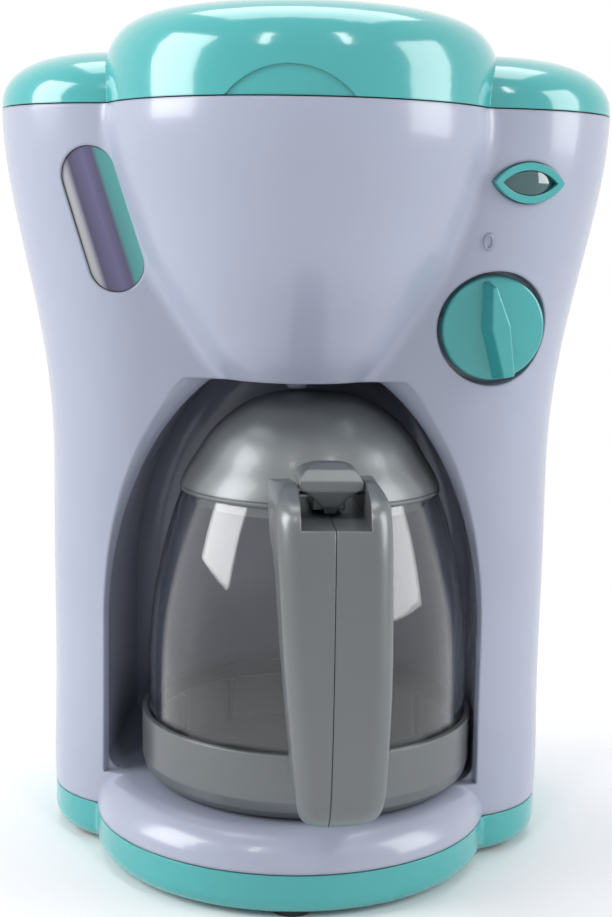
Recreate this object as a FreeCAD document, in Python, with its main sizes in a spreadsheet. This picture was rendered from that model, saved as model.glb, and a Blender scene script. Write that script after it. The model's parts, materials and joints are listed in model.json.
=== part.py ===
import FreeCAD, Part
import math
import os
import Sketcher

# Toy coffee maker: a lavender two-shell body with a teal base, lid and dial, a see-through
# water window, an arched niche and a carafe with a deep handle. Millimetres, Z up.
# X is right and Y is back; the origin lies on the table under the axis of the round front.

V = FreeCAD.Vector
os.makedirs("parts", exist_ok=True)
doc = FreeCAD.newDocument("toy_coffee_maker")
sheet = doc.addObject("Spreadsheet::Sheet", "sizes")

# driving dimensions
driving = {
    # body outline
    "seam_height": 11.7,
    "head_seam": 190.5,
    "panel_gap": 0.3,
    "housing_wall": 2.4,
    "waist_half_width": 65.6,
    "flare_width": 12.7,
    "flare_start": 98.0,
    "flare_end": 191.0,
    "flare_shape": 1.2,
    "front_corner_radius": 27.0,
    "front_corner_growth": 7.0,
    "corner_line": 15.8,
    "back_plane": 73.8,
    "back_corner_radius": 24.0,
    "shell_split": 49.2,
    # round bowl under the lid
    "bowl_top_radius": 49.2,
    "bowl_foot_radius": 15.0,
    "bowl_foot": 118.0,
    "bowl_crease": 4.0,
    # platform
    "platform_radius": 51.0,
    "platform_top": 20.5,
    "platform_round": 8.6,
    # niche
    "niche_half_width": 47.4,
    "niche_spring": 60.0,
    "niche_rise": 71.4,
    "niche_ceiling": 124.3,
    "niche_back": 46.4,
    "niche_corner": 4.5,
    "niche_back_corner": 7.0,
    "niche_lip": 6.0,
    "niche_lip_lift": 30.0,
    "niche_lip_depth": 8.5,
    "niche_lip_start": -7.6,
    # base
    "foot_drop": 1.0,
    "foot_radius": 5.0,
    "foot_thickness": 2.2,
    "base_wall": 2.2,
    "base_round": 4.5,
    "post_radius": 5.5,
    "boss_radius": 4.2,
    "boss_top": 34.0,
    "front_boss_y": 0.0,
    "rear_boss_x": 40.0,
    "screw_radius": 1.5,
    "screw_head_radius": 3.0,
    "screw_head_thickness": 2.0,
    "screw_length": 18.0,
    "screw_seat": 6.0,
    # lid
    "total_height": 215.0,
    "lid_wall": 2.2,
    "shoulder_top": 204.8,
    "shoulder_run": 27.0,
    "shoulder_power": 2.4,
    "dome_edge_height": 203.0,
    "scoop_radius": 19.0,
    "scoop_centre": 178.5,
    "scoop_depth": 0.5,
    "hinge_radius": 3.0,
    "hinge_offset": 1.3,
    "hinge_inner": 24.0,
    "hinge_width": 8.0,
    "hinge_pin_radius": 1.2,
    "running_gap": 0.06,
    "fit_gap": 0.2,
    # water tank and drip line
    "deck_height": 187.0,
    "deck_thickness": 1.8,
    "ledge_width": 2.6,
    "ledge_thickness": 2.0,
    "tank_radius": 37.0,
    "tank_floor": 162.0,
    "tank_wall": 1.8,
    "hose_x": 10.9,
    "hose_radius": 2.6,
    "hose_bore": 1.7,
    "spout_length": 5.0,
    "spout_radius": 1.6,
    "spout_bore": 0.9,
    "nozzle_radius": 3.25,
    "nozzle_bore": 1.6,
    "nozzle_tip": 121.3,
    "nozzle_flange": 6.0,
    "nozzle_flange_thickness": 1.6,
    "pump_radius": 15.0,
    "pump_height": 11.7,
    "pump_wall": 2.0,
    "motor_radius": 8.0,
    "motor_height": 17.0,
    "motor_shaft_radius": 1.0,
    "impeller_radius": 11.5,
    "impeller_height": 5.0,
    # dial
    "dial_x": 49.2,
    "dial_z": 138.0,
    "dial_yaw": 14.0,
    "dial_tilt": 4.0,
    "dial_radius": 13.0,
    "dial_gap": 1.3,
    "well_depth": 6.5,
    "dial_face": 1.2,
    "dial_crown": 0.9,
    "dial_skin": 2.2,
    "blade_height": 5.6,
    "blade_lean": 12.4,
    "dial_shaft_radius": 2.5,
    "bushing_radius": 3.6,
    "switch_radius": 9.0,
    "switch_length": 11.0,
    # numeral beside the dial
    "numeral_x": 46.7,
    "numeral_z": 159.2,
    "numeral_height": 4.2,
    "numeral_width": 2.8,
    "numeral_stroke": 0.7,
    "numeral_relief": 0.35,
    # indicator
    "lamp_x": 55.9,
    "lamp_z": 173.4,
    "lamp_yaw": 22.0,
    "lamp_half_length": 9.2,
    "lamp_half_height": 4.9,
    "lamp_pocket": 1.5,
    "bezel_width": 1.9,
    "bezel_rise": 0.8,
    "lens_rise": 1.1,
    "led_radius": 2.5,
    "led_length": 6.0,
    "board_width": 16.0,
    "board_height": 10.0,
    "board_thickness": 1.6,
    # water window
    "window_top_x": -50.6,
    "window_top_z": 173.6,
    "window_foot_x": -44.2,
    "window_foot_z": 152.4,
    "window_radius": 6.9,
    "window_lens_thickness": 1.4,
    "window_recess": 0.5,
    "window_frame_width": 2.0,
    "window_frame_lip": 1.6,
    "window_frame_depth": 3.0,
    # battery compartment
    "cell_radius": 7.1,
    "cell_length": 50.5,
    "cell_spacing": 16.6,
    "box_floor": 28.0,
    "box_wall": 1.5,
    "box_half_width": 18.5,
    "contact_thickness": 0.6,
    "contact_travel": 2.6,
    "screw_bay": 8.0,
    "door_thickness": 2.2,
    "door_boss_radius": 3.0,
    # carafe
    "carafe_x": 3.7,
    "carafe_turn": 7.0,
    "cup_radius": 42.9,
    "cup_wall": 1.4,
    "cup_top": 37.9,
    "cup_floor": 2.2,
    "cup_round": 5.5,
    "ring_top": 34.5,
    "ring_wall": 1.2,
    "rib_count": 12.0,
    "rib_depth": 2.0,
    "rib_width": 1.2,
    "jug_wall": 1.5,
    "jug_waist_height": 68.0,
    "jug_waist_radius": 40.0,
    "jug_top": 95.6,
    "jug_top_radius": 32.8,
    "collar_thickness": 1.0,
    "collar_radius": 33.4,
    "collar_width": 3.4,
    "lid_top": 120.7,
    "lid_skin": 1.8,
    "lid_plug_depth": 4.5,
    "handle_half_width": 12.5,
    "handle_front": 77.8,
    "handle_depth": 21.0,
    "handle_top": 106.6,
    "handle_foot": 29.3,
    "handle_round": 5.0,
    "handle_seam": 0.16,
    "handle_lean": 2.4,
    "lever_slot_half": 7.5,
    "lever_slot_floor": 98.9,
    "lever_half_width": 7.1,
    "lever_top": 110.4,
    "lid_pin_radius": 1.2,
}
for row, (alias, value) in enumerate(driving.items(), 1):
    sheet.set("A" + str(row), alias.replace("_", " "))
    sheet.set("B" + str(row), str(value))
    sheet.setAlias("B" + str(row), alias)
doc.recompute()
size = {alias: float(sheet.get(alias)) for alias in driving}


# helpers for sub-parts
def origin_plane(body, role):
    """One of the three base planes of a body."""
    return [item for item in body.Origin.OriginFeatures if item.Role == role][0]


def hold(sketch, geometry, vertex, across, up, start):
    """Holds a point of a sketch by its two distances from the origin."""
    index = sketch.addConstraint(Sketcher.Constraint("DistanceX", -1, 1, geometry, vertex, start.x))
    sketch.setExpression("Constraints[" + str(index) + "]", across)
    index = sketch.addConstraint(Sketcher.Constraint("DistanceY", -1, 1, geometry, vertex, start.y))
    sketch.setExpression("Constraints[" + str(index) + "]", up)


def outline_sketch(body, name, role, corners, offset=None):
    """Closed outline of straight sides; each corner is a pair of expressions."""
    sketch = body.newObject("Sketcher::SketchObject", name)
    sketch.AttachmentSupport = [(origin_plane(body, role), "")]
    sketch.MapMode = "FlatFace"
    if offset is not None:
        sketch.setExpression("AttachmentOffset.Base.z", offset)
    count = len(corners)
    spots = []
    for turn in range(count):
        angle = 2.0 * math.pi * turn / count
        spots.append(V(10.0 * math.cos(angle), 10.0 * math.sin(angle), 0))
    for turn in range(count):
        sketch.addGeometry(Part.LineSegment(spots[turn], spots[(turn + 1) % count]), False)
    for turn in range(count):
        sketch.addConstraint(Sketcher.Constraint("Coincident", turn, 2, (turn + 1) % count, 1))
    for turn, (across, up) in enumerate(corners):
        hold(sketch, turn, 1, across, up, spots[turn])
    return sketch


def turned(name, profile):
    """A body turned about Z from a profile of radius and height."""
    body = doc.addObject("PartDesign::Body", name)
    sketch = outline_sketch(body, name + "_profile", "XZ_Plane", profile)
    turn = body.newObject("PartDesign::Revolution", name + "_turn")
    turn.Profile = sketch
    turn.ReferenceAxis = (sketch, ["V_Axis"])
    turn.Angle = 360
    doc.recompute()
    return body


def padded(name, role, corners, length, offset=None):
    """A body padded from an outline."""
    body = doc.addObject("PartDesign::Body", name)
    sketch = outline_sketch(body, name + "_outline", role, corners, offset)
    pad = body.newObject("PartDesign::Pad", name + "_pad")
    pad.Profile = sketch
    pad.setExpression("Length", length)
    doc.recompute()
    return body


def formed(name, shape, placement=None):
    """A sub-part whose form is built by the functions below."""
    feature = doc.addObject("Part::Feature", name)
    feature.Shape = shape
    if placement is not None:
        feature.Placement = placement
    return feature


def cylinder(radius, height, base, axis=V(0, 0, 1)):
    return Part.makeCylinder(radius, height, base, axis)


def box(low, high):
    """A box between two corners."""
    extent = high - low
    return Part.makeBox(extent.x, extent.y, extent.z, low)


def turn_solid(edges):
    """Solid turned about Z from a closed profile in the XZ plane."""
    return Part.Face(Part.Wire(edges)).revolve(V(0, 0, 0), V(0, 0, 1), 360)


def curve_through(points):
    curve = Part.BSplineCurve()
    curve.interpolate(points)
    return curve.toShape()


def chain(points):
    """Straight edges through a list of points."""
    return [Part.makeLine(points[turn], points[turn + 1]) for turn in range(len(points) - 1)]


# body outline
def flare(height):
    """Share of the flare reached at a height, from 0 at the waist to 1 at the head."""
    start = size["flare_start"]
    share = (height - start) / (size["flare_end"] - start)
    share = min(max(share, 0.0), 1.0) ** size["flare_shape"]
    return share * share * (3.0 - 2.0 * share)


def half_width(height):
    return size["waist_half_width"] + size["flare_width"] * flare(height)


def corner_radius(height):
    return size["front_corner_radius"] + size["front_corner_growth"] * flare(height)


def front_surface(across, height):
    """Y of the outer front surface, beside the bowl."""
    radius = corner_radius(height)
    past = abs(across) - (half_width(height) - radius)
    if past <= 0.0:
        return size["corner_line"] - radius
    return size["corner_line"] - math.sqrt(radius * radius - past * past)


def outline(height, inset, level):
    """Rounded outline of the sides, as at one height, drawn at a level."""
    width = half_width(height) - inset
    front_round = corner_radius(height) - inset
    back_round = size["back_corner_radius"] - inset
    middle = size["corner_line"]
    front = middle - front_round
    back = size["back_plane"] - inset
    lean = math.sqrt(0.5)
    inner = width - front_round
    inner_back = width - back_round
    low_back = back - back_round
    edges = [
        Part.LineSegment(V(-inner, front, level), V(inner, front, level)),
        Part.Arc(
            V(inner, front, level),
            V(inner + front_round * lean, middle - front_round * lean, level),
            V(width, middle, level),
        ),
        Part.LineSegment(V(width, middle, level), V(width, low_back, level)),
        Part.Arc(
            V(width, low_back, level),
            V(inner_back + back_round * lean, low_back + back_round * lean, level),
            V(inner_back, back, level),
        ),
        Part.LineSegment(V(inner_back, back, level), V(-inner_back, back, level)),
        Part.Arc(
            V(-inner_back, back, level),
            V(-inner_back - back_round * lean, low_back + back_round * lean, level),
            V(-width, low_back, level),
        ),
        Part.LineSegment(V(-width, low_back, level), V(-width, middle, level)),
        Part.Arc(
            V(-width, middle, level),
            V(-inner - front_round * lean, middle - front_round * lean, level),
            V(-inner, front, level),
        ),
    ]
    return Part.Wire([edge.toShape() for edge in edges])


def sides(inset, low, high):
    """The flared body without its round front, from low to high."""
    start = size["flare_start"]
    rise = size["flare_end"] - start
    levels = [low]
    levels += [low + (start - low) * share for share in (0.3, 0.65, 0.98)]
    levels += [start + rise * share for share in (0.13, 0.26, 0.39, 0.52, 0.65, 0.78, 0.9)]
    levels.append(high)
    return Part.makeLoft([outline(level, inset, level) for level in levels], True, False)


def bowl(inset, foot_cut):
    """The round bowl above the niche; its thin foot is left off when foot_cut is set."""
    top = size["head_seam"]
    foot = size["bowl_foot"]
    rise = top - foot
    wide = size["bowl_top_radius"]
    spread = wide - size["bowl_foot_radius"]
    shares = [(1.0, 1.0), (0.994, 0.869), (0.851, 0.648), (0.714, 0.483), (0.583, 0.372)]
    shares += [(0.446, 0.27), (0.318, 0.172), (0.167, 0.083), (0.0, 0.0)]
    if foot_cut:
        shares = shares[:-1]
    base = size["bowl_foot_radius"]
    points = [V(base + spread * out - inset, 0, foot + rise * up) for out, up in shares]
    last = points[-1]
    edges = [curve_through(points)]
    edges += chain([last, V(0, 0, last.z), V(0, 0, top), V(wide - inset, 0, top)])
    return turn_solid(edges)


def platform(inset, low):
    """The round platform that the carafe stands on."""
    radius = size["platform_radius"] - inset
    top = size["platform_top"] - inset
    bend = size["platform_round"] - inset
    lean = math.sqrt(0.5)
    shoulder = V(radius, 0, top - bend)
    crest = V(radius - bend, 0, top)
    middle = V(radius - bend + bend * lean, 0, top - bend + bend * lean)
    edges = chain([V(0, 0, low), V(radius, 0, low), shoulder])
    edges.append(Part.Arc(shoulder, middle, crest).toShape())
    edges += chain([crest, V(0, 0, top), V(0, 0, low)])
    return turn_solid(edges)


def on_surface(edge, solids, distance=0.01):
    """Whether an edge lies on the skin of every solid in a list."""
    first = edge.FirstParameter
    span = edge.LastParameter - first
    for share in (0.15, 0.5, 0.85):
        spot = Part.Vertex(edge.valueAt(first + span * share))
        for solid in solids:
            if solid.Shells[0].distToShape(spot)[0] > distance:
                return False
    return True


def niche_outline(grow, level, floor, ceiling):
    """Arched outline of the niche, grown sideways, in a plane across Y."""
    width = size["niche_half_width"] + grow
    spring = size["niche_spring"]
    rise = size["niche_rise"] + grow
    flat = width * math.sqrt(1.0 - ((ceiling - spring) / rise) ** 2)
    arch = Part.Ellipse(V(0, level, spring + rise), V(width, level, spring), V(0, level, spring))

    def arc(start, end):
        first = arch.parameter(start)
        last = arch.parameter(end)
        return Part.ArcOfEllipse(arch, min(first, last), max(first, last)).toShape()

    edges = chain([V(-width, level, floor), V(width, level, floor), V(width, level, spring)])
    edges.append(arc(V(width, level, spring), V(flat, level, ceiling)))
    edges.append(Part.makeLine(V(flat, level, ceiling), V(-flat, level, ceiling)))
    edges.append(arc(V(-flat, level, ceiling), V(-width, level, spring)))
    edges.append(Part.makeLine(V(-width, level, spring), V(-width, level, floor)))
    return Part.Wire(Part.__sortEdges__(edges))


def niche(grow):
    """Space of the niche, grown all round by a wall."""
    front = -size["platform_radius"] - size["handle_depth"]
    back = size["niche_back"] + grow
    floor = size["platform_top"] - grow
    ceiling = size["niche_ceiling"] + grow
    solid = Part.Face(niche_outline(grow, front, floor, ceiling)).extrude(V(0, back - front, 0))
    long_edges = []
    for edge in solid.Edges:
        room = edge.BoundBox
        at_flat = abs(room.ZMin - floor) < 0.01 or abs(room.ZMin - ceiling) < 0.01
        if room.YLength > back and at_flat:
            long_edges.append(edge)
    solid = solid.makeFillet(size["niche_corner"] + grow, long_edges)
    rear_edges = [edge for edge in solid.Edges if edge.BoundBox.YMin > back - 0.01]
    return solid.makeFillet(size["niche_back_corner"] + grow, rear_edges)


def niche_lip():
    """Flared mouth that rolls the edge of the arch into the front surface."""
    lip = size["niche_lip"]
    lift = math.radians(size["niche_lip_lift"])
    wires = []
    for turn in range(5):
        angle = lift + (math.radians(84.0) - lift) * turn / 4.0
        grow = lip * (math.cos(lift) - math.cos(angle))
        level = size["niche_lip_start"] - size["niche_lip_depth"] * (math.sin(angle) - math.sin(lift))
        wires.append(niche_outline(grow, level, size["platform_top"], size["niche_ceiling"]))
    mouth = Part.makeLoft(wires, True, False)
    ahead = Part.Face(wires[-1]).extrude(V(0, -1.5, 0))
    return mouth.fuse(ahead)


# features set into the front
def surface_frame(across, height, yaw, tilt):
    """Placement on the front surface: its Z points out of the surface and its Y points up."""
    spot = V(across, front_surface(across, height), height)
    upright = FreeCAD.Rotation(V(1, 0, 0), 90)
    nod = FreeCAD.Rotation(V(1, 0, 0), tilt)
    swing = FreeCAD.Rotation(V(0, 0, 1), yaw)
    return FreeCAD.Placement(spot, swing.multiply(nod).multiply(upright))


def capsule(grow, shift, front, back):
    """Prism of the tilted window outline, from front to back along Y."""
    radius = size["window_radius"] + grow
    top = V(size["window_top_x"] + shift, front, size["window_top_z"])
    foot = V(size["window_foot_x"] + shift, front, size["window_foot_z"])
    along = (top - foot).normalize()
    side = V(along.z, 0, -along.x)
    edges = [
        Part.makeLine(foot + side * radius, top + side * radius),
        Part.Arc(top + side * radius, top + along * radius, top - side * radius).toShape(),
        Part.makeLine(top - side * radius, foot - side * radius),
        Part.Arc(foot - side * radius, foot - along * radius, foot + side * radius).toShape(),
    ]
    return Part.Face(Part.Wire(edges)).extrude(V(0, back - front, 0))


def almond(half_length, half_height, low, high):
    """Prism with an eye-shaped outline about the local Z axis."""
    left = V(-half_length, 0, low)
    right = V(half_length, 0, low)
    upper = Part.Arc(left, V(0, half_height, low), right).toShape()
    lower = Part.Arc(right, V(0, -half_height, low), left).toShape()
    return Part.Face(Part.Wire([upper, lower])).extrude(V(0, 0, high - low))


dial_frame = surface_frame(size["dial_x"], size["dial_z"], size["dial_yaw"], size["dial_tilt"])
lamp_frame = surface_frame(size["lamp_x"], size["lamp_z"], size["lamp_yaw"], size["dial_tilt"])


def placed(shape, placement):
    moved = shape.copy()
    moved.Placement = placement.multiply(moved.Placement)
    return moved


# places of the four housing screws
boss_x = size["niche_half_width"] + size["housing_wall"] + size["boss_radius"] - 0.4
rear_boss_y = size["back_plane"] - size["housing_wall"] - size["boss_radius"] + 0.4
screw_places = [
    (boss_x, size["front_boss_y"]),
    (-boss_x, size["front_boss_y"]),
    (size["rear_boss_x"], rear_boss_y),
    (-size["rear_boss_x"], rear_boss_y),
]
hinge_y = size["back_plane"] + size["hinge_offset"]
hinge_z = size["head_seam"] + size["panel_gap"] / 2.0
box_top = (
    size["box_floor"] + 3.0 * size["box_wall"] + size["cell_length"]
    + 2.0 * (size["contact_thickness"] + size["contact_travel"]) + size["screw_bay"]
)
far = 120.0


def boss(across, along):
    """Screw boss rising from the seam inside the body."""
    low = size["seam_height"]
    post = cylinder(size["boss_radius"], size["boss_top"] - low, V(across, along, low))
    depth = size["screw_seat"] + size["screw_length"] + 2.0 - low
    hole = cylinder(size["screw_radius"] + size["running_gap"], depth, V(across, along, low))
    return post.cut(hole)


def hinge_spans(inner):
    """The X spans of the two knuckles that start at an inner edge."""
    return [(inner, size["hinge_width"]), (-inner - size["hinge_width"], size["hinge_width"])]


def knuckles(inner, low, high):
    """Hinge knuckles joined to a wall between two heights."""
    shapes = []
    for start, width in hinge_spans(inner):
        barrel = cylinder(size["hinge_radius"], width, V(start, hinge_y, hinge_z), V(1, 0, 0))
        web = box(
            V(start, size["back_plane"] - size["housing_wall"] + 0.6, low),
            V(start + width, hinge_y, high),
        )
        shapes.append(barrel.fuse(web))
    return shapes


def knuckle_room(inner):
    """Clearance round the knuckles of the other side."""
    shapes = []
    gap = 0.4
    for start, width in hinge_spans(inner):
        shapes.append(
            cylinder(
                size["hinge_radius"] + gap, width + 2.0 * gap,
                V(start - gap, hinge_y, hinge_z), V(1, 0, 0),
            )
        )
    return shapes


def pin_bores(radius):
    reach = 2.0 * size["hinge_width"] + 6.0
    shapes = []
    for start in (size["hinge_inner"] - 2.0, -size["hinge_inner"] + 2.0 - reach):
        shapes.append(cylinder(radius, reach, V(start, hinge_y, hinge_z), V(1, 0, 0)))
    return shapes


lid_hinge_inner = size["hinge_inner"] + size["hinge_width"] + 0.4


def body_shell():
    """The whole lavender body as one shell, before it is split into front and back."""
    wall = size["housing_wall"]
    low = size["seam_height"]
    top = size["head_seam"]
    side_solid = sides(0.0, low, top)
    bowl_solid = bowl(0.0, False)
    joined = side_solid.fuse(bowl_solid)
    crease = []
    for edge in joined.Edges:
        room = edge.BoundBox
        if room.YMax < 0.0 and room.ZMin > size["bowl_foot"] - 0.5 and room.ZLength > 3.0:
            if on_surface(edge, [bowl_solid, side_solid]):
                crease.append(edge)
    joined = joined.makeFillet(size["bowl_crease"], crease)
    outer = joined.fuse(platform(0.0, low))
    inner = sides(wall, low - 1.0, top + 1.0)
    inner = inner.fuse(bowl(wall, True)).fuse(platform(wall, low - 1.0))
    inner = inner.fuse(cylinder(size["bowl_top_radius"] - wall, 2.0, V(0, 0, top - 1.0)))
    inner = inner.cut(niche(wall))
    well_radius = size["dial_radius"] + size["dial_gap"]
    well = cylinder(well_radius, far, V(0, 0, -size["well_depth"]))
    well_wall = cylinder(well_radius + wall, far, V(0, 0, -size["well_depth"] - wall))
    inner = inner.cut(placed(well_wall, dial_frame))
    ledge_low = size["deck_height"] - size["ledge_thickness"]
    ledge = Part.Face(outline(top, 0.0, ledge_low)).extrude(V(0, 0, size["ledge_thickness"]))
    ledge = ledge.fuse(
        cylinder(size["bowl_top_radius"], size["ledge_thickness"], V(0, 0, ledge_low))
    )
    clear = Part.Face(outline(top, wall + size["ledge_width"], ledge_low))
    clear = clear.extrude(V(0, 0, size["ledge_thickness"]))
    clear = clear.fuse(
        cylinder(
            size["bowl_top_radius"] - wall - size["ledge_width"],
            size["ledge_thickness"], V(0, 0, ledge_low),
        )
    )
    inner = inner.cut(ledge.cut(clear))
    shell = outer.cut(niche(0.0)).cut(niche_lip()).cut(inner)
    shell = shell.cut(placed(well, dial_frame))
    bushing = size["bushing_radius"] + size["fit_gap"]
    shell = shell.cut(placed(cylinder(bushing, far / 4.0, V(0, 0, -far / 4.0)), dial_frame))
    shell = shell.cut(capsule(size["fit_gap"], 0.0, -far / 2.0, 0.0))
    seat = almond(
        size["lamp_half_length"] + size["fit_gap"], size["lamp_half_height"] + size["fit_gap"],
        -size["lamp_pocket"], far / 10.0,
    )
    through = almond(
        size["lamp_half_length"] - size["bezel_width"] + size["fit_gap"],
        size["lamp_half_height"] - size["bezel_width"] + size["fit_gap"],
        -far / 10.0, far / 10.0,
    )
    shell = shell.cut(placed(seat, lamp_frame)).cut(placed(through, lamp_frame))
    nozzle_hole = size["nozzle_radius"] + size["fit_gap"]
    drop = cylinder(nozzle_hole, far / 10.0, V(0, 0, size["niche_ceiling"] - 2.0))
    return shell.cut(drop)


def front_and_back():
    shell = body_shell()
    split = size["shell_split"]
    ahead = box(V(-far, -far, 0), V(far, split, 2.0 * far))
    behind = box(V(-far, split + size["panel_gap"], 0), V(far, far, 2.0 * far))
    front = shell.common(ahead)
    back = shell.common(behind)
    for across, along in screw_places[:2]:
        front = front.fuse(boss(across, along))
    for across, along in screw_places[2:]:
        back = back.fuse(boss(across, along))
    wall = size["housing_wall"]
    half = size["box_half_width"] - size["box_wall"]
    hatch = box(
        V(-half, size["back_plane"] - wall - 1.0, size["box_floor"] + size["box_wall"]),
        V(half, far, box_top - size["box_wall"]),
    )
    back = back.cut(hatch)
    for shape in knuckles(size["hinge_inner"], hinge_z - 5.0, size["head_seam"]):
        back = back.fuse(shape)
    for shape in knuckle_room(lid_hinge_inner):
        back = back.cut(shape)
    for shape in pin_bores(size["hinge_pin_radius"] + size["running_gap"]):
        back = back.cut(shape)
    return front, back


def base_form(inset, low, high):
    """Block with the plan of the base: rounded sides and the round front."""
    plan = Part.Face(outline(0.0, inset, low)).extrude(V(0, 0, high - low))
    lobe = cylinder(size["platform_radius"] - inset, high - low, V(0, 0, low))
    return plan.fuse(lobe).removeSplitter()


def base_tub():
    """Teal base: floor, rim and four posts for the screws."""
    low = size["foot_drop"]
    high = size["seam_height"] - size["panel_gap"]
    wall = size["base_wall"]
    outer = base_form(0.0, low, high)
    notches = []
    for edge in outer.Edges:
        room = edge.BoundBox
        if room.ZLength > high - low - 0.01 and room.YMax < 0.0 and abs(room.XMin) > 45.0:
            if abs(room.XMin) < size["platform_radius"]:
                notches.append(edge)
    outer = outer.makeFillet(3.0, notches)
    rim = [edge for edge in outer.Edges if edge.BoundBox.ZMax < low + 0.01]
    outer = outer.makeFillet(size["base_round"], rim)
    tub = outer.cut(base_form(wall, low + wall, high + 1.0))
    for across, along in screw_places:
        post = cylinder(size["post_radius"], high - low - 0.2, V(across, along, low + 0.2))
        tub = tub.fuse(post.common(outer))
    for across, along in screw_places:
        reach = size["screw_radius"] + size["fit_gap"]
        head = size["screw_head_radius"] + 2.0 * size["fit_gap"]
        tub = tub.cut(cylinder(reach, high, V(across, along, 0)))
        tub = tub.cut(cylinder(head, size["screw_seat"], V(across, along, 0)))
    depth = size["foot_thickness"] - size["foot_drop"]
    for across, along in foot_places:
        pocket = cylinder(size["foot_radius"] + size["fit_gap"], depth, V(across, along, low))
        tub = tub.cut(pocket)
    return tub


foot_places = [
    (3.0, 8.0 - size["platform_radius"]),
    (size["waist_half_width"] - 24.0, 6.0),
    (24.0 - size["waist_half_width"], 6.0),
    (size["waist_half_width"] - 13.0, size["back_plane"] - 20.0),
    (13.0 - size["waist_half_width"], size["back_plane"] - 20.0),
]


def feet():
    pads = []
    for across, along in foot_places:
        pads.append(cylinder(size["foot_radius"], size["foot_thickness"], V(across, along, 0)))
    return Part.makeCompound(pads)


def screw(across, along):
    """Self-tapping screw with a round head, driven upwards."""
    seat = size["screw_seat"]
    head = cylinder(
        size["screw_head_radius"], size["screw_head_thickness"],
        V(across, along, seat - size["screw_head_thickness"]),
    )
    shank = cylinder(size["screw_radius"], size["screw_length"], V(across, along, seat))
    slot = box(V(across - 2.0, along - 0.4, seat - 2.1), V(across + 2.0, along + 0.4, seat - 1.2))
    cross = box(V(across - 0.4, along - 2.0, seat - 2.1), V(across + 0.4, along + 2.0, seat - 1.2))
    return head.fuse(shank).cut(slot).cut(cross)


def dome(inset, low):
    """Round raised middle of the lid."""
    wide = size["bowl_top_radius"] - inset
    top = size["total_height"] - inset
    edge = size["dome_edge_height"] - inset
    rise = top - edge
    points = [
        V(wide, 0, low),
        V(wide - 0.2, 0, low + (edge - low) * 0.55),
        V(wide - 1.2, 0, edge),
        V(wide - 4.2, 0, edge + rise * 0.43),
        V(wide - 11.2, 0, edge + rise * 0.76),
        V(wide * 0.42, 0, edge + rise * 0.955),
        V(0, 0, top),
    ]
    curve = Part.BSplineCurve()
    curve.interpolate(Points=points, InitialTangent=V(0, 0, 20), FinalTangent=V(-20, 0, 0))
    edges = [curve.toShape()]
    edges += chain([V(0, 0, top), V(0, 0, low), V(wide, 0, low)])
    return turn_solid(edges)


def lid_form(inset, low):
    """Outer form of the lid, inset by a wall."""
    seam = size["head_seam"]
    rise = size["shoulder_top"] - inset - low
    run = size["shoulder_run"]
    power = 2.0 / size["shoulder_power"]
    narrowest = 1.0 - (size["back_corner_radius"] - 1.5 - inset) / run
    last = math.acos(narrowest ** (1.0 / power))
    wires = []
    for turn in range(10):
        angle = last * turn / 9.0
        draw = inset + run * (1.0 - math.cos(angle) ** power)
        wires.append(outline(seam, draw, low + rise * math.sin(angle) ** power))
    return Part.makeLoft(wires, True, False).fuse(dome(inset, low))


def top_lid():
    low = size["head_seam"] + size["panel_gap"]
    wall = size["lid_wall"]
    lid = lid_form(0.0, low).cut(lid_form(wall, low - 1.0))
    scoop = cylinder(size["scoop_radius"], far, V(0, 0, size["scoop_centre"]), V(0, -1, 0))
    ring = dome(-1.0, low - 1.0).cut(dome(size["scoop_depth"], low - 2.0))
    lid = lid.cut(scoop.common(ring))
    for shape in knuckles(lid_hinge_inner, low, hinge_z + size["hinge_radius"]):
        lid = lid.fuse(shape)
    for shape in knuckle_room(size["hinge_inner"]):
        lid = lid.cut(shape)
    for shape in pin_bores(size["hinge_pin_radius"] + size["running_gap"]):
        lid = lid.cut(shape)
    return lid


def hinge_pins():
    reach = 2.0 * size["hinge_width"] + 0.4
    pins = []
    for start in (size["hinge_inner"], -size["hinge_inner"] - reach):
        pins.append(
            cylinder(size["hinge_pin_radius"], reach, V(start, hinge_y, hinge_z), V(1, 0, 0))
        )
    return Part.makeCompound(pins)


def tank():
    """Deck that closes the body under the lid, with the water tank hanging from it."""
    low = size["deck_height"]
    thick = size["deck_thickness"]
    inset = size["housing_wall"] + size["panel_gap"]
    plate = Part.Face(outline(size["head_seam"], inset, low)).extrude(V(0, 0, thick))
    plate = plate.fuse(cylinder(size["bowl_top_radius"] - inset, thick, V(0, 0, low)))
    radius = size["tank_radius"]
    wall = size["tank_wall"]
    floor = size["tank_floor"]
    pot = cylinder(radius, low + thick - floor, V(0, 0, floor))
    hollow = cylinder(radius - wall, far, V(0, 0, floor + wall))
    spout = cylinder(
        size["spout_radius"], size["spout_length"] + 0.5,
        V(size["hose_x"], 0, floor - size["spout_length"]),
    )
    bore = cylinder(size["spout_bore"], far / 4.0, V(size["hose_x"], 0, floor - 10.0))
    return plate.fuse(pot).fuse(spout).cut(hollow).cut(bore)


pump_floor = size["niche_ceiling"] + size["housing_wall"] + size["nozzle_flange_thickness"]
pump_top = pump_floor + size["pump_height"]


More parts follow.
